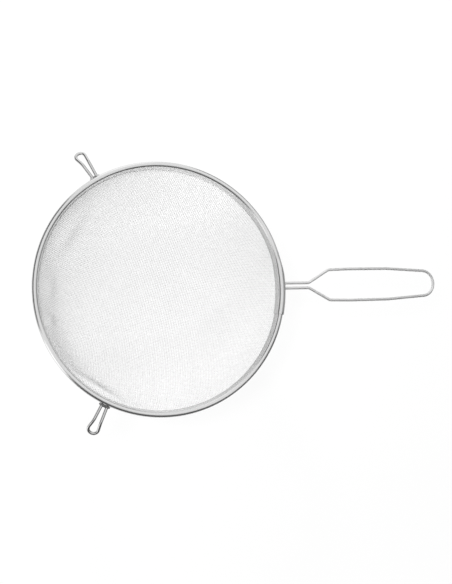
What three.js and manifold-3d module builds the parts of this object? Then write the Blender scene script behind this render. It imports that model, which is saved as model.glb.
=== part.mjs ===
// A round kitchen sieve. A bowl of wire cloth is held in a folded steel rim, which has a hoop wire in
// its bead. A handle bent from one wire and two wire rest hooks are welded to the outside of the rim.
// Millimetres, +Z up. The bowl stands on z = 0 with its axis on Z, and the handle points along +X.
import * as THREE from "three";
import { mergeVertices } from "three/addons/utils/BufferGeometryUtils.js";
import Module from "manifold-3d";

// Rim: a strip folded over the edge of the cloth, with its two ends lapped at the handle
const rimRadius = 100; // outside of the bead
const stripThickness = 0.6;
const coreWireDiameter = 2.8; // hoop wire inside the bead
const beadOverhang = 1.3; // how far the bead stands out over the outer ply
const beadWrap = 20; // degrees that the bead's fold turns in below its middle on the inner side
const outerPlyDrop = 6.2; // from the middle of the bead to the lower edge of the outer ply
const innerPlyDrop = 5.9; // the same for the inner ply
const lapLead = 14; // degrees on one side of the handle where the lap's upper layer steps up
const lapTail = 14; // degrees on the other side of the handle where the upper layer ends
const lapStep = 10; // degrees that the step takes
const lapGap = 0.2; // between the two layers of the lap

// Bowl: wire cloth pressed into part of a sphere
const bowlDepth = 80; // from the middle of the bead down to the middle of the cloth
const clothThickness = 1; // two crossed wires
const clothPitch = 1.484; // between the wires of the real cloth
const wiresPerBar = 9; // one bar of the modelled net stands for this many wires of the cloth
const barWidth = 1;
const clothTurn = -14; // degrees from the handle to the cloth's wires
const clothEdgeGap = 0.9; // from the hoop wire down to the cut edge of the cloth
const standFlat = 0.5; // how much of the lowest bars is flattened where the bowl stands

// Handle: one wire bent to a long loop, both ends welded under the bead
const handleWireDiameter = 2.5;
const handleLength = 143.9; // from the outside of the rim to the tip
const stemSpacing = 4.2; // between the middles of the two wires at the rim
const stemLength = 23.3; // from the outside of the rim to the first bend
const flareLength = 18.4; // from the first bend to the shoulder
const shoulderWidth = 25.5; // between the middles of the two wires at the shoulder
const gripWidth = 28.8; // the same where the two straight runs of the grip's side would meet
const gripCornerAt = 55; // from the shoulder to that place
const tipWidth = 20; // between the middles of the two wires, carried on to the tip
const handleBendRadius = 6;
const gripBowRadius = 570; // the slight bow of the grip's two sides

// Rest hooks: a wire loop on each side, with feet that lie along the rim
const hookWireDiameter = 2.5;
const hookReach = 24.2; // from the outside of the rim to the hook's tip
const hookFootLength = 2.8; // from the middle of a leg to the end of its foot
const hookFootBend = 2; // radius of the bend from leg to foot
const hookKneeAt = 13.5; // from the outside of the rim to where the hook bends down
const hookKneeRadius = 8;
const hookDroop = 25; // degrees that the tip bends down
const leftHookAngle = 120.4; // degrees from the handle
const leftHookLean = 1; // degrees that the hook leans round the rim
const leftHookRootWidth = 3.4; // between the middles of the two legs at the rim
const leftHookKneeWidth = 5.4; // the same at the knee
const leftHookLoopWidth = 8.6; // the same at the tip
const rightHookAngle = -119.2;
const rightHookLean = 2.5;
const rightHookRootWidth = 4.2;
const rightHookKneeWidth = 5.7;
const rightHookLoopWidth = 9.2;

// Clearance and fineness
const seatGap = 0.3; // between pieces that touch
const rimSteps = 72; // facets round the rim
const stepFacet = 1; // degrees of one facet where the lap steps up
const beadDivisions = 5; // half the facets of the bead's fold
const wireSides = 8;
const handleStep = 3; // length of one facet along a wire
const hookStep = 1.3;
const endRound = 0.98; // share of a loop's end that is curved

// Steel finishes
const brightSteel = { color: 0xc9cacc, metalness: 1, roughness: 0.22 };
const clothSteel = { color: 0xbfc0c2, metalness: 1, roughness: 0.35 };

// Places worked out from the sizes above, measured from the middle of the bead
const beadRadius = coreWireDiameter / 2 + seatGap + stripThickness;
const beadCentre = rimRadius - beadRadius;
const lapLift = stripThickness + lapGap;
const outerFace = rimRadius - beadOverhang;
const clothEdgeDrop = coreWireDiameter / 2 + clothEdgeGap;
const mouthRadius = outerFace - stripThickness - seatGap - clothThickness / 2;
const capHeight = bowlDepth - clothEdgeDrop;
const bowlRadius = (mouthRadius ** 2 + capHeight ** 2) / (2 * capHeight);
const bowlCentre = bowlRadius - bowlDepth;
const rimHeight = bowlDepth + clothThickness / 2 - standFlat;

const radians = THREE.MathUtils.degToRad;
const wasm = await Module();
wasm.setup();

// A closed solid from a geometry's bare positions.
function solidFrom(geometry) {
  const bare = geometry.clone();
  bare.deleteAttribute("normal");
  bare.deleteAttribute("uv");
  const merged = mergeVertices(bare, 1e-4);
  return new wasm.Manifold(
    new wasm.Mesh({
      numProp: 3,
      vertProperties: merged.attributes.position.array,
      triVerts: new Uint32Array(merged.index.array),
    }),
  );
}

// A geometry from a list of points and a list of triangles.
function facetGeometry(positions, triangles) {
  const geometry = new THREE.BufferGeometry();
  geometry.setAttribute("position", new THREE.Float32BufferAttribute(positions, 3));
  geometry.setIndex(triangles);
  geometry.computeVertexNormals();
  return geometry;
}

// A circular bend from one straight run into the next, drawn inside the corner where they meet.
class BendCurve extends THREE.Curve {
  constructor(before, corner, after, { radius, run }) {
    super();
    this.forward = corner.clone().sub(before).normalize();
    const onward = after.clone().sub(corner).normalize();
    this.turn = this.forward.angleTo(onward);
    const tangentRun = run ?? radius * Math.tan(this.turn / 2);
    this.radius = tangentRun / Math.tan(this.turn / 2);
    this.start = corner.clone().addScaledVector(this.forward, -tangentRun);
    this.end = corner.clone().addScaledVector(onward, tangentRun);
    this.inward = onward.addScaledVector(this.forward, -Math.cos(this.turn)).normalize();
    this.centre = this.start.clone().addScaledVector(this.inward, this.radius);
  }

  getPoint(t, target = new THREE.Vector3()) {
    const angle = t * this.turn;
    return target
      .copy(this.centre)
      .addScaledVector(this.inward, -this.radius * Math.cos(angle))
      .addScaledVector(this.forward, this.radius * Math.sin(angle));
  }
}

// The middle line of a bent wire: straight runs between corners, each corner with its own bend.
function bentPath(corners) {
  const path = new THREE.CurvePath();
  let from = corners[0].at;
  for (let i = 1; i < corners.length - 1; i++) {
    const bend = new BendCurve(corners[i - 1].at, corners[i].at, corners[i + 1].at, corners[i]);
    path.add(new THREE.LineCurve3(from, bend.start));
    path.add(bend);
    from = bend.end;
  }
  path.add(new THREE.LineCurve3(from, corners.at(-1).at));
  return path;
}

// A round wire along a path, with square cut ends.
function wireGeometry(path, diameter, stepLength) {
  const section = Array.from({ length: wireSides }, (_, i) => {
    const angle = (i * 2 * Math.PI) / wireSides;
    return new THREE.Vector2(Math.cos(angle), Math.sin(angle)).multiplyScalar(diameter / 2);
  });
  return new THREE.ExtrudeGeometry(new THREE.Shape(section), {
    steps: Math.ceil(path.getLength() / stepLength),
    bevelEnabled: false,
    extrudePath: path,
  });
}

// Outline of the folded strip, as radius and height; lift carries a layer clear of one beneath it.
function rimOutline(lift) {
  const inside = coreWireDiameter / 2 + seatGap + lift;
  const outside = inside + stripThickness;
  const outerPly = outerFace + lift;
  const outerPlyInside = outerPly - stripThickness;
  const clothSide = bowlRadius - clothThickness / 2 - seatGap;
  const innerPly = Math.sqrt(clothSide ** 2 - (innerPlyDrop + bowlCentre) ** 2) - lift;
  const wrapEnd = Math.PI + radians(beadWrap);
  const outline = new THREE.Shape();
  outline.moveTo(outerPly, -outerPlyDrop);
  const outsideStart = -Math.acos((outerPly - beadCentre) / outside);
  outline.absarc(beadCentre, 0, outside, outsideStart, wrapEnd, false);
  outline.lineTo(innerPly - stripThickness, -innerPlyDrop);
  outline.lineTo(innerPly, -innerPlyDrop);
  const insideEnd = -Math.acos((outerPlyInside - beadCentre) / inside);
  outline.absarc(beadCentre, 0, inside, wrapEnd, insideEnd, true);
  outline.lineTo(outerPlyInside, -outerPlyDrop);
  return outline.getPoints(beadDivisions);
}

// Stations along the strip: from the cut end of the lap's upper layer, down the step, round the rim
// and in under the upper layer to the hidden end.
function rimStations() {
  const facet = 360 / rimSteps;
  const stepTop = lapLead - lapStep;
  const hiddenEnd = 360 + stepTop - THREE.MathUtils.radToDeg(seatGap / rimRadius);
  const stepDown = (t) => lapLift * (1 - THREE.MathUtils.smoothstep(t, 0, 1));
  const stretches = [
    { from: -lapTail, to: stepTop, facet, lift: () => lapLift },
    { from: stepTop, to: lapLead, facet: stepFacet, lift: stepDown },
    { from: lapLead, to: hiddenEnd, facet, lift: () => 0 },
  ];
  const stations = [{ angle: -lapTail, lift: lapLift }];
  for (const { from, to, facet: size, lift } of stretches) {
    const count = Math.ceil((to - from) / size);
    for (let i = 1; i <= count; i++) {
      stations.push({ angle: from + ((to - from) * i) / count, lift: lift(i / count) });
    }
  }
  return stations;
}

// The rim strip: its outline carried round the rim's axis, closed at both cut ends.
function rimBandGeometry() {
  const positions = [];
  const triangles = [];
  const stations = rimStations();
  const sides = rimOutline(0).length;
  for (const { angle, lift } of stations) {
    const turn = radians(angle);
    for (const { x, y } of rimOutline(lift)) {
      positions.push(x * Math.cos(turn), x * Math.sin(turn), y + rimHeight);
    }
  }
  for (let s = 0; s < stations.length - 1; s++) {
    for (let k = 0; k < sides; k++) {
      const here = s * sides + k;
      const beside = s * sides + ((k + 1) % sides);
      triangles.push(here, here + sides, beside, beside, here + sides, beside + sides);
    }
  }
  const last = (stations.length - 1) * sides;
  for (const [a, b, c] of THREE.ShapeUtils.triangulateShape(rimOutline(0), [])) {
    triangles.push(a, b, c, last + a, last + c, last + b);
  }
  return facetGeometry(positions, triangles);
}

function coreWireGeometry() {
  const hoop = new THREE.TorusGeometry(beadCentre, coreWireDiameter / 2, wireSides, rimSteps);
  return hoop.translate(0, 0, rimHeight);
}

// Knots of a square net pulled over a unit sphere from its lowest point, no wire stretched: each new
// knot mirrors the last in the plane through the sphere's middle and the two knots beside it.
function pulledNet(stepAngle, count) {
  const knots = new Map();
  const key = (i, j) => i + "," + j;
  const knot = (i, j) => knots.get(key(i, j));
  for (let i = -count; i <= count; i++) {
    const along = Math.sin(i * stepAngle);
    const down = -Math.cos(i * stepAngle);
    knots.set(key(i, 0), new THREE.Vector3(along, 0, down));
    knots.set(key(0, i), new THREE.Vector3(0, along, down));
  }
  for (const [right, up] of [[1, 1], [-1, 1], [-1, -1], [1, -1]]) {
    for (let i = right; Math.abs(i) <= count; i += right) {
      for (let j = up; Math.abs(j) <= count; j += up) {
        const mirror = knot(i, j - up).clone().cross(knot(i - right, j)).normalize();
        knots.set(key(i, j), knot(i - right, j - up).clone().reflect(mirror));
      }
    }
  }
  return knot;
}

// The bowl's net before it is trimmed: a pad at each knot and a bar to each neighbour, all of one
// width, between an inner and an outer sphere. Knots reach one mesh past the cloth's edge.
function netGeometry() {
  const stepAngle = (clothPitch * wiresPerBar) / bowlRadius;
  const edgeLevel = -(clothEdgeDrop + bowlCentre) / bowlRadius;
  const count = Math.ceil(Math.acos(-edgeLevel) / stepAngle) + 1;
  const knot = pulledNet(stepAngle, count + 1);
  const inside = (i, j) => Math.max(Math.abs(i), Math.abs(j)) <= count && knot(i, j).z < edgeLevel;
  const around = [-1, 0, 1];
  const used = (i, j) => around.some((a) => around.some((b) => inside(i + a, j + b)));
  const positions = [];
  const triangles = [];
  const first = new Map();
  const numbers = Array.from({ length: 2 * count + 1 }, (_, i) => i - count);
  const places = numbers.flatMap((i) => numbers.filter((j) => used(i, j)).map((j) => [i, j]));
  for (const [i, j] of places) {
    first.set(i + "," + j, positions.length / 3);
    const across = knot(i + 1, j).clone().sub(knot(i - 1, j)).normalize();
    const along = knot(i, j + 1).clone().sub(knot(i, j - 1)).normalize();
    const half = barWidth / 2 / bowlRadius / Math.sin(across.angleTo(along));
    for (const right of [-half, half]) {
      for (const up of [-half, half]) {
        const place = knot(i, j).clone().addScaledVector(across, right).addScaledVector(along, up);
        place.normalize();
        for (const depth of [-clothThickness / 2, clothThickness / 2]) {
          positions.push(...place.clone().multiplyScalar(bowlRadius + depth).toArray());
        }
      }
    }
  }
  // Corner of a knot's pad: right and up are 0 or 1, face is 0 inside the bowl and 1 outside.
  const corner = (place, right, up, face) => place + right * 4 + up * 2 + face;
  const quad = (a, b, c, d) => triangles.push(a, b, c, a, c, d);
  const patch = (a, b, c, d) => {
    quad(a[0], b[0], c[0], d[0]);
    quad(a[1], d[1], c[1], b[1]);
  };
  const wall = (a, b) => quad(a[1], b[1], b[0], a[0]);
  for (const [i, j] of places) {
    const here = first.get(i + "," + j);
    const pair = (place, right, up) => [corner(place, right, up, 0), corner(place, right, up, 1)];
    const [lowLeft, lowRight, highRight, highLeft] =
      [[0, 0], [1, 0], [1, 1], [0, 1]].map(([right, up]) => pair(here, right, up));
    patch(lowLeft, lowRight, highRight, highLeft);
    const rightKnot = first.get(i + 1 + "," + j);
    if (rightKnot === undefined) {
      wall(lowRight, highRight);
    } else {
      const [farLow, farHigh] = [pair(rightKnot, 0, 0), pair(rightKnot, 0, 1)];
      patch(lowRight, farLow, farHigh, highRight);
      wall(lowRight, farLow);
      wall(farHigh, highRight);
    }
    const upperKnot = first.get(i + "," + (j + 1));
    if (upperKnot === undefined) {
      wall(highRight, highLeft);
    } else {
      const [farLeft, farRight] = [pair(upperKnot, 0, 0), pair(upperKnot, 1, 0)];
      patch(highLeft, highRight, farRight, farLeft);
      wall(farLeft, highLeft);
      wall(highRight, farRight);
    }
    if (!first.has(i - 1 + "," + j)) wall(highLeft, lowLeft);
    if (!first.has(i + "," + (j - 1))) wall(lowLeft, lowRight);
  }
  const net = facetGeometry(positions, triangles);
  return net.rotateZ(radians(clothTurn)).translate(0, 0, rimHeight + bowlCentre);
}

// The cloth trimmed to its cut edge inside the rim and flattened where it stands.
function meshBowlGeometry() {
  const edgeHeight = rimHeight - clothEdgeDrop;
  const kept = new THREE.BoxGeometry(3 * rimRadius, 3 * rimRadius, edgeHeight);
  kept.translate(0, 0, edgeHeight / 2);
  const pieces = solidFrom(netGeometry()).intersect(solidFrom(kept)).decompose();
  const cloth = pieces.reduce((a, b) => (a.volume() > b.volume() ? a : b)).getMesh();
  return facetGeometry(cloth.vertProperties, [...cloth.triVerts]);
}

// The handle lies level under the bead, its square ends against the outer layer of the lap.
function handleGeometry() {
  const seat = outerFace + lapLift + seatGap;
  const beadUnderside = Math.sqrt((beadRadius + lapLift) ** 2 - (seat - beadCentre) ** 2);
  const height = rimHeight - beadUnderside - seatGap - handleWireDiameter / 2;
  const tip = rimRadius + handleLength - handleWireDiameter / 2;
  const shoulder = rimRadius + stemLength + flareLength;
  const half = (side) => {
    const corner = (x, width, bend) => ({ at: new THREE.Vector3(x, (side * width) / 2, height), ...bend });
    return [
      corner(seat, stemSpacing),
      corner(rimRadius + stemLength, stemSpacing, { radius: handleBendRadius }),
      corner(shoulder, shoulderWidth, { radius: handleBendRadius }),
      corner(shoulder + gripCornerAt, gripWidth, { radius: gripBowRadius }),
      corner(tip, tipWidth, { run: (endRound * tipWidth) / 2 }),
    ];
  };
  return wireGeometry(bentPath([...half(1), ...half(-1).reverse()]), handleWireDiameter, handleStep);
}

// A rest hook pointing along +X: two legs that widen to a round end, bent down past the knee.
function hookGeometry({ lean, rootWidth, kneeWidth, loopWidth }) {
  const radius = hookWireDiameter / 2;
  const foot = outerFace + seatGap + radius;
  const clearOfBead = beadRadius + seatGap + radius;
  const height = rimHeight - Math.sqrt(clearOfBead ** 2 - (foot - beadCentre) ** 2);
  const knee = rimRadius + hookKneeAt;
  const tip = rimRadius + hookReach - radius;
  const drop = (tip - knee) * Math.tan(radians(hookDroop));
  const sideways = (x) => (x - foot) * Math.tan(radians(lean));
  const footAngle = (rootWidth / 2 + hookFootLength) / foot;
  const half = (side) => {
    const along = (x, width) => (side * width) / 2 + sideways(x);
    const leg = (x, width, z, bend) => ({ at: new THREE.Vector3(x, along(x, width), z), ...bend });
    return [
      { at: new THREE.Vector3(foot * Math.cos(footAngle), side * foot * Math.sin(footAngle), height) },
      leg(foot, rootWidth, height, { radius: hookFootBend }),
      leg(knee, kneeWidth, height, { radius: hookKneeRadius }),
      leg(tip, loopWidth, height - drop, { run: (endRound * loopWidth) / 2 }),
    ];
  };
  return wireGeometry(bentPath([...half(1), ...half(-1).reverse()]), hookWireDiameter, hookStep);
}

function steelPiece(name, geometry, finish) {
  const piece = new THREE.Mesh(geometry, new THREE.MeshStandardMaterial(finish));
  piece.name = name;
  return piece;
}

const sieve = new THREE.Group();
sieve.name = "sieve";
sieve.add(steelPiece("mesh_bowl", meshBowlGeometry(), clothSteel));
sieve.add(steelPiece("rim_band", rimBandGeometry(), brightSteel));
sieve.add(steelPiece("rim_core_wire", coreWireGeometry(), brightSteel));
sieve.add(steelPiece("handle_wire", handleGeometry(), brightSteel));
const leftHookShape = hookGeometry({
  lean: leftHookLean,
  rootWidth: leftHookRootWidth,
  kneeWidth: leftHookKneeWidth,
  loopWidth: leftHookLoopWidth,
});
const leftHook = steelPiece("rest_hook_left", leftHookShape, brightSteel);
leftHook.rotation.z = radians(leftHookAngle);
sieve.add(leftHook);
const rightHookShape = hookGeometry({
  lean: rightHookLean,
  rootWidth: rightHookRootWidth,
  kneeWidth: rightHookKneeWidth,
  loopWidth: rightHookLoopWidth,
});
const rightHook = steelPiece("rest_hook_right", rightHookShape, brightSteel);
rightHook.rotation.z = radians(rightHookAngle);
sieve.add(rightHook);

export default sieve;
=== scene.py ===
"""Looks of a round kitchen sieve: a bowl of woven steel wire held in a folded rim, with a bent wire
handle and two wire rest hooks. All lengths are in metres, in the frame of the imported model."""
import math
from collections import namedtuple

import bmesh
import bpy
import numpy as np
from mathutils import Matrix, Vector


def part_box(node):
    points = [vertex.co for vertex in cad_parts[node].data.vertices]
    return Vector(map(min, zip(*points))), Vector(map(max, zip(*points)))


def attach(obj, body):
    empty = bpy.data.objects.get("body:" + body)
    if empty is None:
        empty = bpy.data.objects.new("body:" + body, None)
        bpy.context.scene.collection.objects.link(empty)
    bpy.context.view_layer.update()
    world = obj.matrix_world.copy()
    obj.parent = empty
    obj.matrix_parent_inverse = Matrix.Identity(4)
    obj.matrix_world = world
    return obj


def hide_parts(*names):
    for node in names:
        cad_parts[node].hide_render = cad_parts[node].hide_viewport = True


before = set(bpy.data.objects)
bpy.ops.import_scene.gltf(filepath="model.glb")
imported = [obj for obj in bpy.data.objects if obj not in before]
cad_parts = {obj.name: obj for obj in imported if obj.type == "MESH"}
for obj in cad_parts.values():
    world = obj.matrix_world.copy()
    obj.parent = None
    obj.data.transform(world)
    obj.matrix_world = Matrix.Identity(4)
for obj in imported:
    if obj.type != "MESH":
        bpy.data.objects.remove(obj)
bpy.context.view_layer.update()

bl_info = {
    "name": "Kitchen Sieve",
    "version": (1, 0, 0),
    "blender": (4, 5, 0),
    "location": "View3D > Sidebar > Sieve",
    "description": "Builds a round wire sieve piece by piece, with its steel finishes and a white studio",
    "category": "Add Mesh",
}

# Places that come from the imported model
HOOP_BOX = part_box("rim_core_wire")
HANDLE_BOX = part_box("handle_wire")
BODY = "root"
MM = 0.001
UP = Vector((0, 0, 1))
ORIGIN = Vector((0, 0, 0))
WIRE_TONE = "wire_tone"
BAKE_MAP = "OFBake"


# Kinds of setting

def length(name, description, millimetres):
    """A size in the real world, given in millimetres."""
    return bpy.props.FloatProperty(
        name=name, description=description, default=millimetres * MM, unit="LENGTH", precision=4)


def angle(name, description, degrees):
    """An angle, given in degrees."""
    return bpy.props.FloatProperty(
        name=name, description=description, default=math.radians(degrees), subtype="ANGLE")


def number(name, description, default):
    """A plain number without a unit."""
    return bpy.props.FloatProperty(name=name, description=description, default=default)


def count(name, description, default):
    """How many facets, wires or steps."""
    return bpy.props.IntProperty(name=name, description=description, default=default, min=1)


def colour(name, description, grey):
    """A neutral colour, given as one grey level."""
    return bpy.props.FloatVectorProperty(
        name=name, description=description, default=(grey, grey, grey), subtype="COLOR", min=0, max=1)


# Settings

class SieveRimSettings(bpy.types.PropertyGroup):
    """Sizes of the rim, a strip folded over the edge of the cloth and lapped at the handle"""
    height: length("Height", "Middle of the bead above the worktop",
                   (HOOP_BOX[0].z + HOOP_BOX[1].z) / 2 / MM)
    radius: length("Radius", "Outside of the bead", 100)
    strip: length("Strip", "Thickness of the strip", 0.6)
    hoop: length("Hoop wire", "Diameter of the wire inside the bead", 2.8)
    clearance: length("Clearance", "Between the hoop wire and the bead, and between welded pieces", 0.3)
    overhang: length("Overhang", "How far the bead stands out over the outer ply", 1.3)
    wrap: angle("Wrap", "How far the bead turns in below its middle on the inner side", 20)
    hollow: length("Hollow", "Radius of the hollow bend between the bead and the inner ply", 1.8)
    outer_drop: length("Outer ply", "From the middle of the bead to the outer ply's lower edge", 6.2)
    inner_drop: length("Inner ply", "From the middle of the bead to the inner ply's lower edge", 5.9)
    lap_lead: angle("Lap lead", "From the handle to where the lap's upper layer steps up", 14)
    lap_tail: angle("Lap tail", "From the handle to the cut end of the lap's upper layer", 14)
    lap_step: angle("Lap step", "Length of the step", 10)
    lap_gap: length("Lap gap", "Between the two layers of the lap", 0.2)
    edge_round: length("Edge round", "Rounding of the strip's cut edges", 0.12)
    merge: length("Merge", "Points of the finished strip closer than this are merged", 0.0024)


class SieveClothSettings(bpy.types.PropertyGroup):
    """Sizes of the wire cloth"""
    pitch: length("Pitch", "Between neighbouring wires", 1.484)
    wire: length("Wire", "Diameter of the cloth's wires", 0.26)
    edge_drop: length("Edge", "From the middle of the bead down to the cloth's cut edge", 2.3)
    room: length("Room", "From the outer ply's inside to the middle of the cloth", 0.8)
    turn: angle("Turn", "From the handle to the cloth's wires", -14)
    sides: count("Sides", "Facets round a wire", 6)


class SieveHandleSettings(bpy.types.PropertyGroup):
    """Sizes of the handle, one wire bent to a long loop"""
    wire: length("Wire", "Diameter of the wire", 2.5)
    stem_spacing: length("Stem spacing", "Between the two wires at the rim", 4.2)
    stem: length("Stem", "From the outside of the rim to the first bend", 23.3)
    flare: length("Flare", "From the first bend to the shoulder", 18.4)
    shoulder_width: length("Shoulder", "Between the two wires at the shoulder", 25.5)
    grip_width: length("Grip", "Between the two wires where a side's straight runs would meet", 28.8)
    corner_at: length("Corner at", "From the shoulder to that place", 55)
    tip_width: length("Tip", "Between the two wires, carried on to the tip", 20)
    bend: length("Bend", "Radius of the stem's and the shoulder's bends", 6)
    bow: length("Bow", "Radius of the slight bow of the grip's sides", 570)
    weld: length("Weld", "Radius of the weld collar on the rim", 1.75)


class SieveHookSettings(bpy.types.PropertyGroup):
    """Sizes of the two rest hooks"""
    wire: length("Wire", "Diameter of the wire", 2.5)
    reach: length("Reach", "From the outside of the rim to the tip", 24.2)
    foot: length("Foot", "From the middle of a leg to the end of its foot", 2.3)
    foot_bend: length("Foot bend", "Radius of the bend from leg to foot", 2)
    knee_at: length("Knee at", "From the outside of the rim to where the hook bends down", 13.5)
    knee_bend: length("Knee bend", "Radius of the knee", 8)
    droop: angle("Droop", "How far the tip bends down", 25)
    left_angle: angle("Left angle", "From the handle to the left hook", 120.4)
    left_lean: angle("Left lean", "How far the left hook leans round the rim", 1)
    left_root: length("Left root", "Between the left hook's legs at the rim", 3.4)
    left_knee: length("Left knee", "Between the left hook's legs at the knee", 5.4)
    left_loop: length("Left loop", "Between the left hook's legs at the tip", 8.6)
    right_angle: angle("Right angle", "From the handle to the right hook", -119.2)
    right_lean: angle("Right lean", "How far the right hook leans round the rim", 2.5)
    right_root: length("Right root", "Between the right hook's legs at the rim", 4.2)
    right_knee: length("Right knee", "Between the right hook's legs at the knee", 5.7)
    right_loop: length("Right loop", "Between the right hook's legs at the tip", 9.2)
    left_weld: length("Left weld", "Thickest radius of the weld at the left hook's feet", 0.9)
    right_weld: length("Right weld", "The same at the right hook's feet", 1.4)
    weld_out: length("Weld out", "From the outside of the rim to the middle of the weld", 0.75)


class SieveFinishSettings(bpy.types.PropertyGroup):
    """Colours and smoothness of the steel"""
    bright: colour("Bright steel", "Colour of the rim", 0.75)
    dull: colour("Dull steel", "Colour of the smudges on it", 0.68)
    wire_bright: colour("Bright wire", "Colour of the handle", 0.94)
    wire_dull: colour("Dull wire", "Colour of the smudges on it", 0.86)
    hook_bright: colour("Bright hook", "Colour of the hooks", 0.64)
    hook_dull: colour("Dull hook", "Colour of the smudges on them", 0.56)
    # The warp is painted darker and the weft lighter, though both are one wire: painted shade and painted
    # light on the weave's two directions
    warp_bright: colour("Bright warp", "Colour of the brightest wires across the bowl", 0.6)
    warp_dull: colour("Dull warp", "Colour of the dullest wires across the bowl", 0.44)
    weft_bright: colour("Bright weft", "Colour of the brightest wires along the handle", 0.89)
    weft_dull: colour("Dull weft", "Colour of the dullest wires along the handle", 0.75)
    # The welds are dark partly for their own scale and partly as painted shade where the hooks' feet meet the
    # rim and between the handle's stems
    weld_bright: colour("Bright weld", "Colour of the welds", 0.32)
    weld_dull: colour("Dull weld", "Colour of the scale on them", 0.2)
    cloth_metal: number("Cloth metal", "Share of the cloth's shine that is clean metal", 0.33)
    strip_relief: length("Strip relief", "Height of the grain on the rim", 0.002)
    wire_relief: length("Wire relief", "Height of the grain on the wires", 0.002)
    weld_relief: length("Weld relief", "Height of the grain on the welds", 0.02)


class SieveStudioSettings(bpy.types.PropertyGroup):
    """Camera, floor and light"""
    camera_place: bpy.props.FloatVectorProperty(
        name="Camera place", description="Where the camera stands",
        default=(-0.1144, -0.0518, 0.6114), subtype="TRANSLATION", unit="LENGTH")
    camera_turn: bpy.props.FloatVectorProperty(
        name="Camera turn", description="How the camera is turned from looking straight down",
        default=(math.radians(5.698), math.radians(-16.902), math.radians(-2.844)), subtype="EULER")
    lens: number("Lens", "Focal length in millimetres, for a sensor 36 mm along the frame's long side", 43.08)
    clip: length("Clip", "Nearest distance that the camera shows", 10)
    floor_size: length("Floor", "Side of the floor", 6000)
    floor_grey: colour("Floor grey", "Colour of the floor as it lights the sieve", 0.5)
    floor_shade: colour("Floor shade", "Colour that takes the shadow where the floor is looked at", 0.055)
    floor_glow: number("Floor glow", "Brightness that is added to it there", 0.933)
    world_light: number("World light", "Brightness of the surroundings as they light the sieve", 0.1)
    lamp_place: bpy.props.FloatVectorProperty(
        name="Lamp place", description="Middle of the soft box",
        default=(-0.6, 0.05, 1.37), subtype="TRANSLATION", unit="LENGTH")
    lamp_size: length("Lamp size", "Side of the soft box", 300)
    lamp_power: number("Lamp power", "Watts of the soft box", 26)
    window_place: bpy.props.FloatVectorProperty(
        name="Window place", description="Middle of the low light behind the sieve",
        default=(-0.25, 1.06, 0.47), subtype="TRANSLATION", unit="LENGTH")
    window_size: length("Window size", "Side of the low light", 200)
    window_power: number("Window power", "Watts of the low light", 15)
    flag_radius: length("Flag radius", "From the sieve to the flags and cards that its steel mirrors", 420)
    pale_from: length("Pale from", "Distance towards the handle where the flags begin to pale", 399)
    pale_grey: number("Pale grey", "Brightness of the flags straight behind the handle", 0.4)
    sky_grey: number("Sky grey", "Brightness of the flags at the height of the front one", 0.8)
    fade_from: length("Fade from", "Height where the flags begin to pale", 350)


# Flags and cards that stand round the sieve for its steel to mirror: height in millimetres, bearings of the
# two ends in degrees, and brightness
Flag = namedtuple("Flag", "height start end grey")
FLAGS = {
    "left": Flag(height=420, start=126, end=195, grey=0.2),
    "front": Flag(height=1300, start=225, end=312, grey=0.1),
    "right": Flag(height=500, start=312, end=336, grey=0.12),
    "side": Flag(height=950, start=336, end=378, grey=0.1),
    "far": Flag(height=230, start=20, end=66, grey=0.3),
    "gap": Flag(height=300, start=203, end=221, grey=1.6),
    "back": Flag(height=300, start=84, end=112, grey=1.3),
}


# Modelling by hand: a point or a round face is drawn out along straight runs and turned round bends

SIDES = 24
BEND_FACET = math.radians(6)
SMOOTH_ANGLE = math.radians(40)
# Share of a loop's width that each of the two bends at its end takes
END_ROUND = 0.49


def open_for_editing(piece, name):
    """Names a new primitive, puts its place in its mesh and selects all of it in edit mode."""
    piece.name = name
    piece.data.name = name
    bpy.ops.object.transform_apply(location=True, rotation=True, scale=True)
    bpy.ops.object.mode_set(mode="EDIT")
    bpy.ops.mesh.select_all(action="SELECT")
    return piece


def start_point(name, at):
    """A new piece that is a single point."""
    bpy.ops.object.select_all(action="DESELECT")
    bpy.ops.mesh.primitive_plane_add(size=MM, location=at)
    piece = open_for_editing(bpy.context.active_object, name)
    bpy.ops.mesh.merge(type="CENTER")
    return piece


def start_face(name, at, along, radius):
    """A new piece that is a round face, square to a direction."""
    bpy.ops.object.select_all(action="DESELECT")
    bpy.ops.mesh.primitive_circle_add(
        vertices=SIDES, radius=radius, fill_type="NGON", location=at,
        rotation=along.to_track_quat("Z", "Y").to_euler())
    return open_for_editing(bpy.context.active_object, name)


def draw(run):
    """Extrudes what is selected along a straight run."""
    bpy.ops.mesh.extrude_region_move(TRANSFORM_OT_translate={"value": run})


def turn(by, centre, axis, steps=None):
    """Extrudes what is selected round an axis, by the right-hand rule."""
    steps = steps or max(2, math.ceil(abs(by) / BEND_FACET))
    bpy.ops.mesh.spin(steps=steps, angle=-by, center=centre, axis=axis, use_auto_merge=False)


def resize(by, centre):
    """Scales what is selected about a point."""
    bpy.ops.transform.resize(value=(by, by, by), center_override=centre)


def finish_shape(piece):
    """Turns the faces outwards, closes the editing and shades the round faces smooth."""
    bpy.ops.mesh.select_all(action="SELECT")
    bpy.ops.mesh.normals_make_consistent(inside=False)
    bpy.ops.object.mode_set(mode="OBJECT")
    bpy.ops.object.select_all(action="DESELECT")
    piece.select_set(True)
    bpy.context.view_layer.objects.active = piece
    bpy.ops.object.shade_smooth_by_angle(angle=SMOOTH_ANGLE)
    return piece


def apply_modifier(piece, kind, **values):
    """Adds one modifier to the active piece and applies it."""
    modifier = piece.modifiers.new(kind.title(), kind)
    for name, value in values.items():
        setattr(modifier, name, value)
    bpy.ops.object.modifier_apply(modifier=modifier.name)


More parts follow.
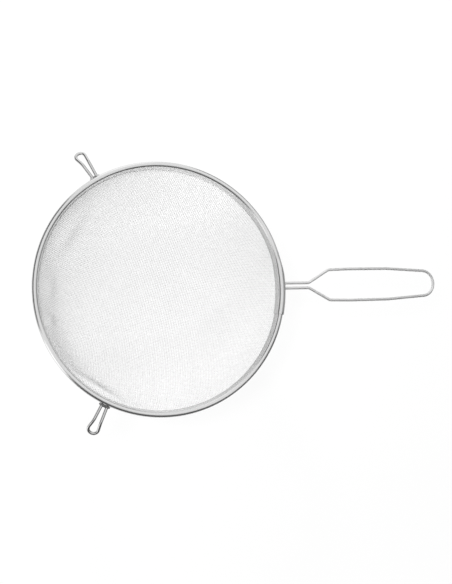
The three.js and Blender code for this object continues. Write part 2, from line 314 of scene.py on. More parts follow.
def bend_at(before, corner, after, radius=None, run=None):
    """(start, end, angle, centre, axis) of the circular bend inside a corner of a wire's middle line."""
    forward = (corner - before).normalized()
    onward = (after - corner).normalized()
    by = forward.angle(onward)
    if run is None:
        run = radius * math.tan(by / 2)
    radius = run / math.tan(by / 2)
    start = corner - forward * run
    inward = (onward - forward * math.cos(by)).normalized()
    return start, corner + onward * run, by, start + inward * radius, forward.cross(onward).normalized()


def bent_wire(name, corners, diameter):
    """A round wire along corners, each a point and the radius or run of its bend."""
    points = [Vector(at) for at, _ in corners]
    wire = start_face(name, points[0], points[1] - points[0], diameter / 2)
    here = points[0]
    for before, corner, after, (_, bend) in zip(points, points[1:], points[2:], corners[1:]):
        start, end, by, centre, axis = bend_at(before, corner, after, **bend)
        draw(start - here)
        turn(by, centre, axis)
        here = end
    draw(points[-1] - here)
    return finish_shape(wire)


def keep_piece(piece, material, slot, *nodes):
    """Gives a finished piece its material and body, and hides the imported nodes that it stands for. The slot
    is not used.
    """
    piece.data.materials.clear()
    piece.data.materials.append(material)
    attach(piece, BODY)
    if nodes:
        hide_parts(*nodes)
    return piece


# Sizes that several pieces share

def bead_radius(rim):
    """Outside of the bead, from its middle."""
    return rim.hoop / 2 + rim.clearance + rim.strip


def bead_centre(rim):
    """Middle of the bead, from the rim's axis."""
    return rim.radius - bead_radius(rim)


def outer_face(rim):
    """Outside of the outer ply, from the rim's axis."""
    return rim.radius - rim.overhang


def lap_lift(rim):
    """How far the lap's upper layer lies above the lower one."""
    return rim.strip + rim.lap_gap


def bowl_sphere(rim, cloth):
    """(radius, height of the middle) of the sphere that the middle of the cloth lies on. The cloth is two
    wires thick, so its middle is one wire above the worktop."""
    mouth = outer_face(rim) - rim.strip - cloth.room
    edge = rim.height - cloth.edge_drop
    cap = edge - cloth.wire
    radius = (mouth ** 2 + cap ** 2) / (2 * cap)
    return radius, cloth.wire + radius


# Materials

# Length of the rim's grain for each radian round its axis
GRAIN_ROUND = 0.01


def link(material, start, output, end, entry):
    """Links two nodes of a material."""
    material.node_tree.links.new(start.outputs[output], end.inputs[entry])


def maths_node(nodes, operation, kind="ShaderNodeMath"):
    """A new node that does one operation."""
    node = nodes.new(kind)
    node.operation = operation
    return node


def steel_surface_group():
    """Node group that the steels share: broad smudges and fine grain over the surface."""
    group = bpy.data.node_groups.new("steel_surface", "ShaderNodeTree")
    face = group.interface
    face.new_socket("Vector", in_out="INPUT", socket_type="NodeSocketVector")
    for name in ("Bright", "Dull"):
        face.new_socket(name, in_out="INPUT", socket_type="NodeSocketColor")
    for name in ("Smudge Scale", "Grain Scale", "Smooth", "Rough"):
        face.new_socket(name, in_out="INPUT", socket_type="NodeSocketFloat")
    face.new_socket("Color", in_out="OUTPUT", socket_type="NodeSocketColor")
    for name in ("Roughness", "Height"):
        face.new_socket(name, in_out="OUTPUT", socket_type="NodeSocketFloat")
    nodes, links = group.nodes, group.links
    given = nodes.new("NodeGroupInput")
    made = nodes.new("NodeGroupOutput")
    smudge = nodes.new("ShaderNodeTexNoise")
    smudge.inputs["Detail"].default_value = 3
    grain = nodes.new("ShaderNodeTexNoise")
    grain.inputs["Detail"].default_value = 2
    tint = nodes.new("ShaderNodeMix")
    tint.data_type = "RGBA"
    shine = nodes.new("ShaderNodeMix")
    both = maths_node(nodes, "ADD")
    half = maths_node(nodes, "MULTIPLY")
    half.inputs[1].default_value = 0.5
    for start, output, end, entry in (
            (given, "Vector", smudge, "Vector"), (given, "Smudge Scale", smudge, "Scale"),
            (given, "Vector", grain, "Vector"), (given, "Grain Scale", grain, "Scale"),
            (smudge, "Fac", both, 0), (grain, "Fac", both, 1), (both, "Value", half, 0),
            (half, "Value", tint, "Factor"), (given, "Bright", tint, "A"), (given, "Dull", tint, "B"),
            (half, "Value", shine, "Factor"), (given, "Smooth", shine, "A"), (given, "Rough", shine, "B"),
            (tint, "Result", made, "Color"), (shine, "Result", made, "Roughness"),
            (grain, "Fac", made, "Height")):
        links.new(start.outputs[output], end.inputs[entry])
    return group


def new_steel(name, bright, dull, smooth, rough, smudge_scale, grain_scale, relief):
    """(material, group node, coordinates) of a metal whose surface comes from the shared group. Relief is
    the height of its grain."""
    material = bpy.data.materials.new(name)
    material.use_nodes = True
    nodes = material.node_tree.nodes
    shader = nodes["Principled BSDF"]
    shader.inputs["Metallic"].default_value = 1
    surface = nodes.new("ShaderNodeGroup")
    surface.node_tree = bpy.data.node_groups.get("steel_surface") or steel_surface_group()
    values = {"Bright": (*bright, 1), "Dull": (*dull, 1), "Smooth": smooth, "Rough": rough,
              "Smudge Scale": smudge_scale, "Grain Scale": grain_scale}
    for entry, value in values.items():
        surface.inputs[entry].default_value = value
    bump = nodes.new("ShaderNodeBump")
    bump.inputs["Distance"].default_value = relief
    place = nodes.new("ShaderNodeTexCoord")
    link(material, surface, "Color", shader, "Base Color")
    link(material, surface, "Roughness", shader, "Roughness")
    link(material, surface, "Height", bump, "Height")
    link(material, bump, "Normal", shader, "Normal")
    return material, surface, place


def rim_steel(finish):
    """Polished strip with fine lines along it, so the grain is drawn out round the rim's axis."""
    material, surface, place = new_steel(
        "rim_steel", finish.bright, finish.dull, smooth=0.16, rough=0.28, smudge_scale=60, grain_scale=900,
        relief=finish.strip_relief)
    nodes = material.node_tree.nodes
    split = nodes.new("ShaderNodeSeparateXYZ")
    bearing = maths_node(nodes, "ARCTAN2")
    shorten = maths_node(nodes, "MULTIPLY")
    shorten.inputs[1].default_value = GRAIN_ROUND
    reach = maths_node(nodes, "LENGTH", "ShaderNodeVectorMath")
    drawn = nodes.new("ShaderNodeCombineXYZ")
    link(material, place, "Object", split, "Vector")
    link(material, place, "Object", reach, 0)
    link(material, split, "Y", bearing, 0)
    link(material, split, "X", bearing, 1)
    link(material, bearing, "Value", shorten, 0)
    link(material, shorten, "Value", drawn, "X")
    link(material, reach, "Value", drawn, "Y")
    link(material, split, "Z", drawn, "Z")
    link(material, drawn, "Vector", surface, "Vector")
    return material


def wire_steel(finish):
    """Drawn wire of the handle, dulled by use, and of the hoop."""
    material, surface, place = new_steel(
        "wire_steel", finish.wire_bright, finish.wire_dull, smooth=0.5, rough=0.6, smudge_scale=90,
        grain_scale=1600, relief=finish.wire_relief)
    link(material, place, "Object", surface, "Vector")
    return material


def hook_steel(finish):
    """Smoother drawn wire of the hooks."""
    material, surface, place = new_steel(
        "hook_steel", finish.hook_bright, finish.hook_dull, smooth=0.12, rough=0.24, smudge_scale=90,
        grain_scale=1600, relief=finish.wire_relief)
    link(material, place, "Object", surface, "Vector")
    return material


def cloth_steel(finish, way):
    """Fine wire of the cloth's warp or weft. Its smudges start at another place on every wire, by the wire's
    tone. The warp's darker and the weft's lighter colours are painted shade and painted light on the weave's
    two directions."""
    bright, dull = getattr(finish, f"{way}_bright"), getattr(finish, f"{way}_dull")
    material, surface, place = new_steel(
        f"{way}_steel", bright, dull, smooth=0.2, rough=0.34, smudge_scale=40, grain_scale=1200,
        relief=finish.wire_relief)
    nodes = material.node_tree.nodes
    nodes["Principled BSDF"].inputs["Metallic"].default_value = finish.cloth_metal
    tone = nodes.new("ShaderNodeAttribute")
    tone.attribute_name = WIRE_TONE
    shift = maths_node(nodes, "ADD", "ShaderNodeVectorMath")
    link(material, place, "Object", shift, 0)
    link(material, tone, "Color", shift, 1)
    link(material, shift, "Vector", surface, "Vector")
    return material


def weld_steel_and_shade(finish):
    """Duller, rougher metal of the welds, darkened partly for their own scale and partly as painted shade at
    the hooks' feet and round the handle's stems.
    """
    material, surface, place = new_steel(
        "weld_steel_and_shade", finish.weld_bright, finish.weld_dull, smooth=0.35, rough=0.55,
        smudge_scale=700, grain_scale=2500, relief=finish.weld_relief)
    link(material, place, "Object", surface, "Vector")
    return material


def shared_material(make, finish):
    """A material that several pieces wear, made once."""
    return bpy.data.materials.get(make.__name__) or make(finish)


# Rim

BEAD_STEPS = 24
HOLLOW_STEPS = 8
ROUND_STEPS = 180
LAP_STEPS = 12
BEVEL_ANGLE = math.radians(50)


def rim_profile(rim, bearing):
    """Draws the strip's middle line across the rim at one bearing: up the outer ply, over the bead, round a
    hollow bend and down the inner ply. Returns the piece, open for editing."""
    outward = Vector((math.cos(bearing), math.sin(bearing), 0))
    across = UP.cross(outward)

    def place(radius, rise):
        return outward * radius + UP * (rim.height + rise)

    def towards(at):
        return outward * math.cos(at) + UP * math.sin(at)

    middle = place(bead_centre(rim), 0)
    fold = rim.hoop / 2 + rim.clearance + rim.strip / 2
    outer_ply = outer_face(rim) - rim.strip / 2
    fold_start = -math.acos((outer_ply - bead_centre(rim)) / fold)
    fold_end = math.pi + rim.wrap
    cloth_radius, cloth_middle = bowl_sphere(rim, bpy.context.scene.sieve_cloth)
    inside = cloth_radius - rim.strip - rim.clearance
    below = cloth_middle - rim.height + rim.inner_drop
    inner_ply = math.sqrt(inside ** 2 - below ** 2) - rim.strip / 2
    outer_edge = place(outer_ply, -rim.outer_drop)
    inner_edge = place(inner_ply, -rim.inner_drop)
    hollow_middle = middle + towards(fold_end) * (fold + rim.hollow)
    fall = inner_edge - hollow_middle
    hollow_end = math.atan2(fall.dot(UP), fall.dot(outward)) + math.acos(rim.hollow / fall.length)
    piece = start_point("rim_strip", outer_edge)
    draw(middle + towards(fold_start) * fold - outer_edge)
    turn(fold_end - fold_start, middle, -across, steps=BEAD_STEPS)
    turn(hollow_end - rim.wrap, hollow_middle, -across, steps=HOLLOW_STEPS)
    draw(inner_edge - hollow_middle - towards(hollow_end) * rim.hollow)
    return piece


def select_bearing(piece, bearing):
    """Selects the ring of points at one bearing round the rim's axis, and nothing else."""
    mesh = bmesh.from_edit_mesh(piece.data)
    near = math.radians(0.05)
    for vertex in mesh.verts:
        off = math.remainder(math.atan2(vertex.co.y, vertex.co.x) - bearing, math.tau)
        vertex.select = abs(off) < near
    mesh.select_flush(True)
    mesh.select_flush(False)
    bmesh.update_edit_mesh(piece.data)


def eased(share):
    """A share from 0 to 1 that starts and stops gently."""
    return share * share * (3 - 2 * share)


class SIEVE_OT_rim(bpy.types.Operator):
    """Fold the rim strip over the cloth's edge and lap its ends at the handle"""
    bl_idname = "sieve.rim"
    bl_label = "Rim"

    def execute(self, context):
        rim = context.scene.sieve_rim
        step_top = rim.lap_lead - rim.lap_step
        hidden_end = step_top - rim.clearance / rim.radius
        piece = rim_profile(rim, hidden_end)
        bpy.ops.mesh.select_all(action="SELECT")
        turn(-(math.tau - rim.lap_lead + hidden_end), ORIGIN, UP, steps=ROUND_STEPS)
        bpy.ops.mesh.select_all(action="SELECT")
        bpy.ops.mesh.normals_make_consistent(inside=False)
        mesh = bmesh.from_edit_mesh(piece.data)
        top = max(mesh.verts, key=lambda vertex: vertex.co.z)
        lift = lap_lift(rim) * math.copysign(1, top.normal.z)
        select_bearing(piece, rim.lap_lead)
        for step in range(LAP_STEPS):
            turn(-rim.lap_step / LAP_STEPS, ORIGIN, UP, steps=1)
            rise = eased((step + 1) / LAP_STEPS) - eased(step / LAP_STEPS)
            bpy.ops.transform.shrink_fatten(value=lift * rise)
        turn(-(step_top + rim.lap_tail), ORIGIN, UP, steps=LAP_STEPS)
        finish_shape(piece)
        apply_modifier(piece, "SOLIDIFY", thickness=rim.strip, offset=0, use_even_offset=True)
        apply_modifier(piece, "BEVEL", width=rim.edge_round, segments=2, limit_method="ANGLE",
                       angle_limit=BEVEL_ANGLE)
        apply_modifier(piece, "WELD", merge_threshold=rim.merge)
        bpy.ops.object.shade_smooth_by_angle(angle=SMOOTH_ANGLE)
        keep_piece(piece, rim_steel(context.scene.sieve_finish), "polished_steel", "rim_band")
        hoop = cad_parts["rim_core_wire"]
        hoop.data.materials.clear()
        hoop.data.materials.append(shared_material(wire_steel, context.scene.sieve_finish))
        return {"FINISHED"}


# Cloth

# Shallow dents and a bulge in the bowl's wall. Bearing and climb give the middle of each, from the handle
# and from the bowl's lowest point. Then come half the length and the height below the middle, all in
# degrees, and how far the cloth is pushed out, in millimetres. The rim holds the cloth at the climb below,
# so each runs out before it.
HELD_CLIMB = 74
Dent = namedtuple("Dent", "bearing climb half_length half_height push")
DENTS = (
    Dent(bearing=145, climb=60, half_length=14, half_height=7, push=-3.1),
    Dent(bearing=178, climb=61, half_length=9, half_height=7, push=-2.2),
    Dent(bearing=194, climb=64, half_length=4, half_height=7, push=-1.8),
    Dent(bearing=214, climb=50, half_length=14, half_height=13, push=3.4),
    Dent(bearing=235, climb=69.5, half_length=13, half_height=8, push=-3.2),
)


def dented(directions, cloth):
    """How far the dents push the cloth out along each of these unit vectors."""
    bearing = np.arctan2(directions[:, 1], directions[:, 0]) + cloth.turn
    climb = np.arccos(-directions[:, 2])
    push = np.zeros(len(directions))
    for dent in DENTS:
        aside = (bearing - math.radians(dent.bearing) + math.pi) % math.tau - math.pi
        upward = climb - math.radians(dent.climb)
        run_out = np.where(upward > 0, (HELD_CLIMB - dent.climb) / 2, dent.half_height)
        push += dent.push * MM * np.exp(-(aside / math.radians(dent.half_length)) ** 2
                                        - (upward / np.radians(run_out)) ** 2)
    return push


# Wires worked out beyond the cloth's edge, so that the last one there has a neighbour to be cut towards
SPARE_WIRES = 2
# Share of its strip of the map that a wire fills
STRIP_FILL = 0.9
# Length that keeps a division from being by nothing
TINY = 1e-12


def pulled_net(step, reach):
    """Unit vectors to the knots of a square net pulled over a sphere from its lowest point with no wire
    stretched: each new knot mirrors the last in the plane through the sphere's middle and the two knots
    beside it. One quarter is worked out and mirrored."""
    quarter = np.zeros((reach + 1, reach + 1, 3))
    along = np.arange(reach + 1) * step
    quarter[:, 0, 0] = np.sin(along)
    quarter[0, :, 1] = np.sin(along)
    quarter[:, 0, 2] = quarter[0, :, 2] = -np.cos(along)
    for diagonal in range(2, 2 * reach + 1):
        i = np.arange(max(1, diagonal - reach), min(reach, diagonal - 1) + 1)
        j = diagonal - i
        mirror = np.cross(quarter[i, j - 1], quarter[i - 1, j])
        mirror /= np.maximum(np.linalg.norm(mirror, axis=1, keepdims=True), TINY)
        last = quarter[i - 1, j - 1]
        quarter[i, j] = last - 2 * np.sum(last * mirror, axis=1, keepdims=True) * mirror
    numbers = np.arange(-reach, reach + 1)
    net = quarter[np.abs(numbers)][:, np.abs(numbers)]
    net[:, :, 0] *= np.sign(numbers)[:, None]
    net[:, :, 1] *= np.sign(numbers)[None, :]
    return net


def trimmed_line(line, crimp, edge):
    """The knots of one wire below the cloth's edge, with a cut end at the edge on each side: (directions,
    crimps), or None where the wire lies outside the edge."""
    middle = len(line) // 2
    outside = np.flatnonzero(line[:, 2] >= edge)
    if middle in outside:
        return None
    first = outside[outside < middle].max() + 1
    last = outside[outside > middle].min() - 1
    ends = []
    for inner, outer in ((first, first - 1), (last, last + 1)):
        share = (edge - line[inner, 2]) / (line[outer, 2] - line[inner, 2])
        ends.append(((1 - share) * line[inner] + share * line[outer],
                     (1 - share) * crimp[inner] + share * crimp[outer]))
    directions = np.vstack([ends[0][0], line[first:last + 1], ends[1][0]])
    crimps = np.hstack([ends[0][1], crimp[first:last + 1], ends[1][1]])
    return directions / np.linalg.norm(directions, axis=1, keepdims=True), crimps


def wire_rings(directions, crimps, sphere, cloth):
    """Points of the rings round one cloth wire, [ring, side]. The wire goes over and under the ones that
    it crosses, half a wire each way."""
    middles = directions * (sphere + dented(directions, cloth) + crimps * cloth.wire / 2)[:, None]
    along = np.gradient(middles, axis=0)
    across = np.cross(directions, along)
    across /= np.linalg.norm(across, axis=1, keepdims=True)
    out = np.cross(along, across)
    out /= np.linalg.norm(out, axis=1, keepdims=True)
    round_wire = np.arange(cloth.sides) * math.tau / cloth.sides
    section = (across[:, None] * np.cos(round_wire)[None, :, None]
               + out[:, None] * np.sin(round_wire)[None, :, None])
    return middles[:, None] + section * cloth.wire / 2


def tube_faces(rings, sides, first):
    """Faces of a closed tube whose points start at first, ring after ring."""
    ring = np.arange(rings - 1)[:, None] * sides + first
    side = np.arange(sides)[None, :]
    beside = (side + 1) % sides
    quads = np.stack([ring + side, ring + beside, ring + sides + beside, ring + sides + side], axis=-1)
    faces = quads.reshape(-1, 4).tolist()
    faces.append([first + k for k in reversed(range(sides))])
    faces.append([first + (rings - 1) * sides + k for k in range(sides)])
    return faces


def tube_map(rings, sides, strip, strips):
    """Places of a tube's face corners on a flat map. Each wire has a strip of the map to itself, with a gap
    to the next."""
    along = (np.arange(rings - 1)[:, None, None] + np.array([0, 0, 1, 1])) / (rings - 1)
    about = np.arange(sides)[None, :, None] + np.array([0, 1, 1, 0])
    shape = (rings - 1, sides, 4)

    def level(corner):
        return (strip + STRIP_FILL * corner / sides) / strips

    walls = np.stack([np.broadcast_to(along, shape), np.broadcast_to(level(about), shape)], axis=-1)
    corners = np.arange(sides)
    first_end = np.stack([np.zeros(sides), level(corners[::-1])], axis=-1)
    last_end = np.stack([np.ones(sides), level(corners)], axis=-1)
    return np.vstack([walls.reshape(-1, 2), first_end, last_end])


def woven_wires(name, lines, crimps, edge, sphere, middle, cloth):
    """One piece that holds the wires of one direction on one side of the cloth."""
    trimmed = [trimmed_line(line, crimp, edge) for line, crimp in zip(lines, crimps)]
    wires = [wire_rings(*wire, sphere, cloth) for wire in trimmed if wire is not None]
    chance = np.random.default_rng(len(name))
    faces, places, tones, total = [], [], [], 0
    for strip, rings in enumerate(wires):
        faces += tube_faces(len(rings), cloth.sides, total)
        places.append(tube_map(len(rings), cloth.sides, strip, len(wires)))
        tones.append(np.full(len(rings) * cloth.sides, chance.random()))
        total += len(rings) * cloth.sides
    points = np.vstack([rings.reshape(-1, 3) for rings in wires])
    cos, sin = math.cos(cloth.turn), math.sin(cloth.turn)
    turned = points @ np.array([[cos, sin, 0], [-sin, cos, 0], [0, 0, 1]])
    turned[:, 2] += middle
    mesh = bpy.data.meshes.new(name)
    mesh.from_pydata(turned.tolist(), [], faces)
    mesh.polygons.foreach_set("use_smooth", np.ones(len(mesh.polygons), bool))
    mesh.uv_layers.new(name=BAKE_MAP).uv.foreach_set("vector", np.vstack(places).ravel())
    mesh.attributes.new(WIRE_TONE, "FLOAT", "POINT").data.foreach_set("value", np.hstack(tones))
    mesh.update()
    piece = bpy.data.objects.new(name, mesh)
    bpy.context.scene.collection.objects.link(piece)
    return piece


class SIEVE_OT_cloth(bpy.types.Operator):
    """Weave the bowl's wire cloth, every wire over one and under the next"""
    bl_idname = "sieve.cloth"
    bl_label = "Wire cloth"

    def execute(self, context):
        rim, cloth = context.scene.sieve_rim, context.scene.sieve_cloth
        warp = cloth_steel(context.scene.sieve_finish, "warp")
        weft = cloth_steel(context.scene.sieve_finish, "weft")
        sphere, middle = bowl_sphere(rim, cloth)
        edge = (rim.height - cloth.edge_drop - middle) / sphere
        step = cloth.pitch / sphere
        reach = math.ceil(math.acos(-edge) / step) + SPARE_WIRES
        net = pulled_net(step, reach)
        numbers = np.arange(-reach, reach + 1)
        over = 1 - 2 * ((numbers[:, None] + numbers[None, :]) % 2)
        half = len(numbers) // 2
        wires = {
            "cloth_warp_left": (net[:half], over[:half], warp),
            "cloth_warp_right": (net[half:], over[half:], warp),
            "cloth_weft_near": (net.swapaxes(0, 1)[:half], -over.T[:half], weft),
            "cloth_weft_far": (net.swapaxes(0, 1)[half:], -over.T[half:], weft),
        }
        for name, (lines, crimps, material) in wires.items():
            piece = woven_wires(name, lines, crimps, edge, sphere, middle, cloth)
            keep_piece(piece, material, "wire_cloth", "mesh_bowl")
        return {"FINISHED"}


# Handle

# The weld collar starts inside the rim, by this share of the wire's diameter. Then come its runs along the
# wire, in the same measure, each with what its radius is multiplied by.
COLLAR_SUNK = 0.1
COLLAR_RUNS = ((0.2, 1), (0.12, 0.93), (0.12, 0.86), (0.14, 0.9))


class SIEVE_OT_handle(bpy.types.Operator):
    """Bend the handle's wire to a long loop and weld its two ends to the rim"""
    bl_idname = "sieve.handle"
    bl_label = "Handle"

    def execute(self, context):
        rim, handle = context.scene.sieve_rim, context.scene.sieve_handle
        finish = context.scene.sieve_finish
        height = (HANDLE_BOX[0].z + HANDLE_BOX[1].z) / 2
        seat = outer_face(rim) + lap_lift(rim)
        first_bend = rim.radius + handle.stem
        shoulder = first_bend + handle.flare
        tip = HANDLE_BOX[1].x - handle.wire / 2
        half = [
            (seat, handle.stem_spacing, None),
            (first_bend, handle.stem_spacing, {"radius": handle.bend}),
            (shoulder, handle.shoulder_width, {"radius": handle.bend}),
            (shoulder + handle.corner_at, handle.grip_width, {"radius": handle.bow}),
            (tip, handle.tip_width, {"run": END_ROUND * handle.tip_width}),
        ]
        corners = [((x, width / 2, height), bend) for x, width, bend in half]
        corners += [((x, -width / 2, height), bend) for x, width, bend in reversed(half)]
        piece = bent_wire("handle_loop", corners, handle.wire)
        keep_piece(piece, shared_material(wire_steel, finish), "polished_steel", "handle_wire")
        for side, name in ((1, "handle_weld_left"), (-1, "handle_weld_right")):
            at = Vector((seat, side * handle.stem_spacing / 2, height))
            weld = self.weld_collar(name, at, handle)
            keep_piece(weld, shared_material(weld_steel_and_shade, finish), "polished_steel")
        return {"FINISHED"}

    @staticmethod
    def weld_collar(name, at, handle):
        """A collar of weld that runs out from the rim on to the wire."""
        out = Vector((1, 0, 0))
        at = at - out * handle.wire * COLLAR_SUNK
        collar = start_face(name, at, out, handle.weld)
        for run, share in COLLAR_RUNS:
            step = out * handle.wire * run
            at = at + step
            draw(step)
            resize(share, at)
        return finish_shape(collar)


# Rest hooks

# Radius of the lumpy weld along a hook's feet, from end to end, as shares of its thickest
WELD_SHARES = (0.4, 0.75, 0.95, 0.85, 1, 0.9, 1, 0.8, 0.95, 0.7, 0.4)


class SIEVE_OT_hooks(bpy.types.Operator):
    """Bend the two rest hooks and weld their feet to the rim"""
    bl_idname = "sieve.hooks"
    bl_label = "Rest hooks"

    def execute(self, context):
        finish = context.scene.sieve_finish
        for side in ("left", "right"):
            piece = bent_wire(f"rest_hook_{side}_loop", self.hook_corners(context.scene, side),
                              context.scene.sieve_hooks.wire)
            keep_piece(piece, shared_material(hook_steel, finish), "polished_steel", f"rest_hook_{side}")
            weld = self.weld_seam(f"rest_hook_{side}_weld", context.scene, side)
            keep_piece(weld, shared_material(weld_steel_and_shade, finish), "polished_steel")
        return {"FINISHED"}

    @staticmethod
    def side_values(hooks, side):
        """(bearing, lean, width at the rim, width at the knee, width at the tip, weld) of one hook."""
        entries = ("angle", "lean", "root", "knee", "loop", "weld")
        return [getattr(hooks, f"{side}_{entry}") for entry in entries]

    def weld_seam(self, name, scene, side):
        """A lumpy seam of weld along the feet of a hook, between them and the rim."""
        rim, hooks = scene.sieve_rim, scene.sieve_hooks
        bearing, _, root, _, _, radius = self.side_values(hooks, side)
        reach = rim.radius + hooks.weld_out
        height = rim.height - bead_radius(rim) - rim.clearance
        half = (root / 2 + hooks.foot) / reach

        def place(at):
            return Vector((math.cos(at) * reach, math.sin(at) * reach, height))

        steps = len(WELD_SHARES) - 1
        places = [place(bearing - half + 2 * half * step / steps) for step in range(steps + 1)]
        seam = start_face(name, places[0], places[1] - places[0], radius * WELD_SHARES[0])
        for last, here, before, share in zip(places, places[1:], WELD_SHARES, WELD_SHARES[1:]):
            draw(here - last)
            resize(share / before, here)
        return finish_shape(seam)

    def hook_corners(self, scene, side):
        """Corners of a hook's middle line, from the end of one foot to the end of the other."""
        rim, hooks = scene.sieve_rim, scene.sieve_hooks
        bearing, lean, root, at_knee, at_tip, _ = self.side_values(hooks, side)
        radius = hooks.wire / 2
        foot = outer_face(rim) + rim.clearance + radius
        clear_of_bead = bead_radius(rim) + rim.clearance + radius
        height = rim.height - math.sqrt(clear_of_bead ** 2 - (foot - bead_centre(rim)) ** 2)
        knee = rim.radius + hooks.knee_at
        tip = rim.radius + hooks.reach - radius
        drop = (tip - knee) * math.tan(hooks.droop)
        foot_bearing = (root / 2 + hooks.foot) / foot
        outward = Vector((math.cos(bearing), math.sin(bearing), 0))
        along = UP.cross(outward)

        def leg(hand, reach, width, level, bend):
            aside = hand * width / 2 + (reach - foot) * math.tan(lean)
            return outward * reach + along * aside + UP * level, bend

        def half(hand):
            toe = outward * math.cos(foot_bearing) + along * hand * math.sin(foot_bearing)
            return [
                (toe * foot + UP * height, None),
                leg(hand, foot, root, height, {"radius": hooks.foot_bend}),
                leg(hand, knee, at_knee, height, {"radius": hooks.knee_bend}),
                leg(hand, tip, at_tip, height - drop, {"run": END_ROUND * at_tip}),
            ]

        return half(1) + half(-1)[::-1]


# Studio

def seen_directly(nodes, links):
    """An output that is 1 for rays that show the studio: straight, mirrored or through glass."""
    path = nodes.new("ShaderNodeLightPath")
    first = maths_node(nodes, "MAXIMUM")
    second = maths_node(nodes, "MAXIMUM")
    links.new(path.outputs["Is Camera Ray"], first.inputs[0])
    links.new(path.outputs["Is Glossy Ray"], first.inputs[1])
    links.new(first.outputs["Value"], second.inputs[0])
    links.new(path.outputs["Is Transmission Ray"], second.inputs[1])
    return second.outputs["Value"]


def floor_white(studio):
    """White floor that mostly glows where it is looked at, so that only the object's shadow shows on it."""
    material = bpy.data.materials.new("floor_white")
    material.use_nodes = True
    nodes, links = material.node_tree.nodes, material.node_tree.links
    nodes.clear()
    output = nodes.new("ShaderNodeOutputMaterial")
    plain = nodes.new("ShaderNodeBsdfDiffuse")
    plain.inputs["Color"].default_value = (*studio.floor_grey, 1)
    shaded = nodes.new("ShaderNodeBsdfDiffuse")
    shaded.inputs["Color"].default_value = (*studio.floor_shade, 1)
    glow = nodes.new("ShaderNodeEmission")
    glow.inputs["Strength"].default_value = studio.floor_glow
    both = nodes.new("ShaderNodeAddShader")
    mix = nodes.new("ShaderNodeMixShader")
    links.new(seen_directly(nodes, links), mix.inputs["Fac"])
    links.new(shaded.outputs["BSDF"], both.inputs[0])
    links.new(glow.outputs["Emission"], both.inputs[1])
    links.new(plain.outputs["BSDF"], mix.inputs[1])
    links.new(both.outputs["Shader"], mix.inputs[2])
    links.new(mix.outputs["Shader"], output.inputs["Surface"])
    return material


def flag_paper(name, grey, studio):
    """Paper of a flag or card, paler on the handle's side of the sieve and towards the top."""
    material = bpy.data.materials.new(name)
    material.use_nodes = True
    nodes, links = material.node_tree.nodes, material.node_tree.links
    nodes.clear()
    output = nodes.new("ShaderNodeOutputMaterial")
    glow = nodes.new("ShaderNodeEmission")
    place = nodes.new("ShaderNodeTexCoord")
    split = nodes.new("ShaderNodeSeparateXYZ")
    aside = nodes.new("ShaderNodeMapRange")
    aside.inputs["From Min"].default_value = studio.pale_from
    aside.inputs["From Max"].default_value = studio.flag_radius
    aside.inputs["To Min"].default_value = grey
    aside.inputs["To Max"].default_value = studio.pale_grey
    upward = nodes.new("ShaderNodeMapRange")
    upward.inputs["From Min"].default_value = studio.fade_from
    upward.inputs["From Max"].default_value = FLAGS["front"].height * MM
    upward.inputs["To Max"].default_value = studio.sky_grey
    links.new(place.outputs["Object"], split.inputs["Vector"])
    links.new(split.outputs["X"], aside.inputs["Value"])
    links.new(split.outputs["Z"], upward.inputs["Value"])
    links.new(aside.outputs["Result"], upward.inputs["To Min"])
    links.new(upward.outputs["Result"], glow.inputs["Strength"])
    links.new(glow.outputs["Emission"], output.inputs["Surface"])
    return material


def white_world(studio):
    """Even white surroundings, plain white where they are looked at."""
    world = bpy.data.worlds.new("white_surroundings")
    world.use_nodes = True
    nodes, links = world.node_tree.nodes, world.node_tree.links
    background = nodes["Background"]
    background.inputs["Color"].default_value = (1, 1, 1, 1)
    strength = nodes.new("ShaderNodeMapRange")
    strength.inputs["To Min"].default_value = studio.world_light
    strength.inputs["To Max"].default_value = 1
    links.new(seen_directly(nodes, links), strength.inputs["Value"])
    links.new(strength.outputs["Result"], background.inputs["Strength"])
    return world


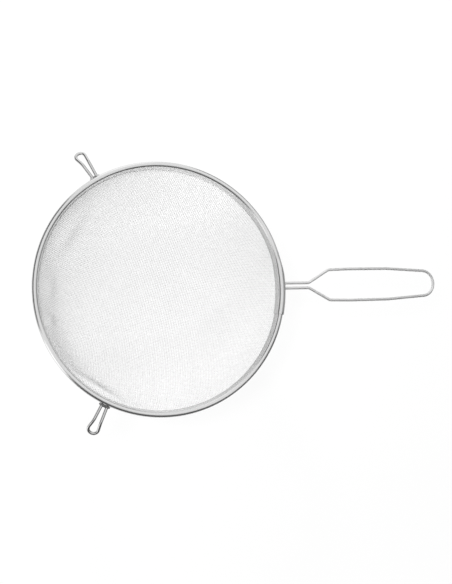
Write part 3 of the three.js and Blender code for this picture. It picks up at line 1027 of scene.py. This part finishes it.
class SIEVE_OT_studio(bpy.types.Operator):
    """Set up the white floor, the flags, the lights and the camera"""
    bl_idname = "sieve.studio"
    bl_label = "Studio"

    def execute(self, context):
        scene, studio = context.scene, context.scene.sieve_studio
        scene.view_settings.view_transform = "Standard"
        scene.world = white_world(studio)
        bpy.ops.object.select_all(action="DESELECT")
        bpy.ops.mesh.primitive_plane_add(size=studio.floor_size, location=ORIGIN)
        floor = context.active_object
        floor.name = "floor"
        floor.data.materials.append(floor_white(studio))
        for name, values in FLAGS.items():
            self.standing_flag(name, values, studio)
        self.square_lamp("soft_box", studio.lamp_place, studio.lamp_size, studio.lamp_power)
        self.square_lamp("window", studio.window_place, studio.window_size, studio.window_power)
        bpy.ops.object.camera_add(location=studio.camera_place, rotation=studio.camera_turn)
        camera = context.active_object
        camera.name = "camera"
        camera.data.lens = studio.lens
        camera.data.clip_start = studio.clip
        scene.camera = camera
        return {"FINISHED"}

    @staticmethod
    def square_lamp(name, place, size, power):
        """A square soft light that looks at the sieve."""
        bpy.ops.object.light_add(type="AREA", location=place)
        lamp = bpy.context.active_object
        lamp.name = name
        lamp.data.shape = "SQUARE"
        lamp.data.size = size
        lamp.data.energy = power
        lamp.rotation_euler = (-lamp.location).to_track_quat("-Z", "Y").to_euler()
        lamp.visible_glossy = False

    @staticmethod
    def standing_flag(name, values, studio):
        """A flag or card, a wall part of the way round the sieve that only mirrors in its steel."""
        start, end = math.radians(values.start), math.radians(values.end)
        foot = Vector((math.cos(start), math.sin(start), 0)) * studio.flag_radius
        flag = start_point(f"{name}_flag", foot)
        draw(UP * values.height * MM)
        bpy.ops.mesh.select_all(action="SELECT")
        turn(end - start, ORIGIN, UP)
        bpy.ops.object.mode_set(mode="OBJECT")
        flag.data.materials.append(flag_paper(flag.name, values.grey, studio))
        flag.visible_camera = False
        flag.visible_diffuse = False
        flag.visible_transmission = False
        flag.visible_shadow = False


# Panel and registration

OPERATORS = (SIEVE_OT_rim, SIEVE_OT_cloth, SIEVE_OT_handle, SIEVE_OT_hooks, SIEVE_OT_studio)
SETTINGS = {
    "sieve_rim": SieveRimSettings,
    "sieve_cloth": SieveClothSettings,
    "sieve_handle": SieveHandleSettings,
    "sieve_hooks": SieveHookSettings,
    "sieve_finish": SieveFinishSettings,
    "sieve_studio": SieveStudioSettings,
}


class SIEVE_PT_panel(bpy.types.Panel):
    """Buttons and settings of the sieve"""
    bl_label = "Sieve"
    bl_idname = "SIEVE_PT_panel"
    bl_space_type = "VIEW_3D"
    bl_region_type = "UI"
    bl_category = "Sieve"

    def draw(self, context):
        for operator in OPERATORS:
            self.layout.operator(operator.bl_idname)
        for name, kind in SETTINGS.items():
            box = self.layout.box()
            settings = getattr(context.scene, name)
            for entry in kind.__annotations__:
                box.prop(settings, entry)


def register():
    for name, kind in SETTINGS.items():
        bpy.utils.register_class(kind)
        setattr(bpy.types.Scene, name, bpy.props.PointerProperty(type=kind))
    for kind in (*OPERATORS, SIEVE_PT_panel):
        bpy.utils.register_class(kind)


def unregister():
    for kind in (SIEVE_PT_panel, *reversed(OPERATORS)):
        bpy.utils.unregister_class(kind)
    for name, kind in reversed(SETTINGS.items()):
        delattr(bpy.types.Scene, name)
        bpy.utils.unregister_class(kind)


def main():
    register()
    bpy.ops.sieve.rim()
    bpy.ops.sieve.cloth()
    bpy.ops.sieve.handle()
    bpy.ops.sieve.hooks()
    bpy.ops.sieve.studio()


if __name__ == "__main__":
    main()
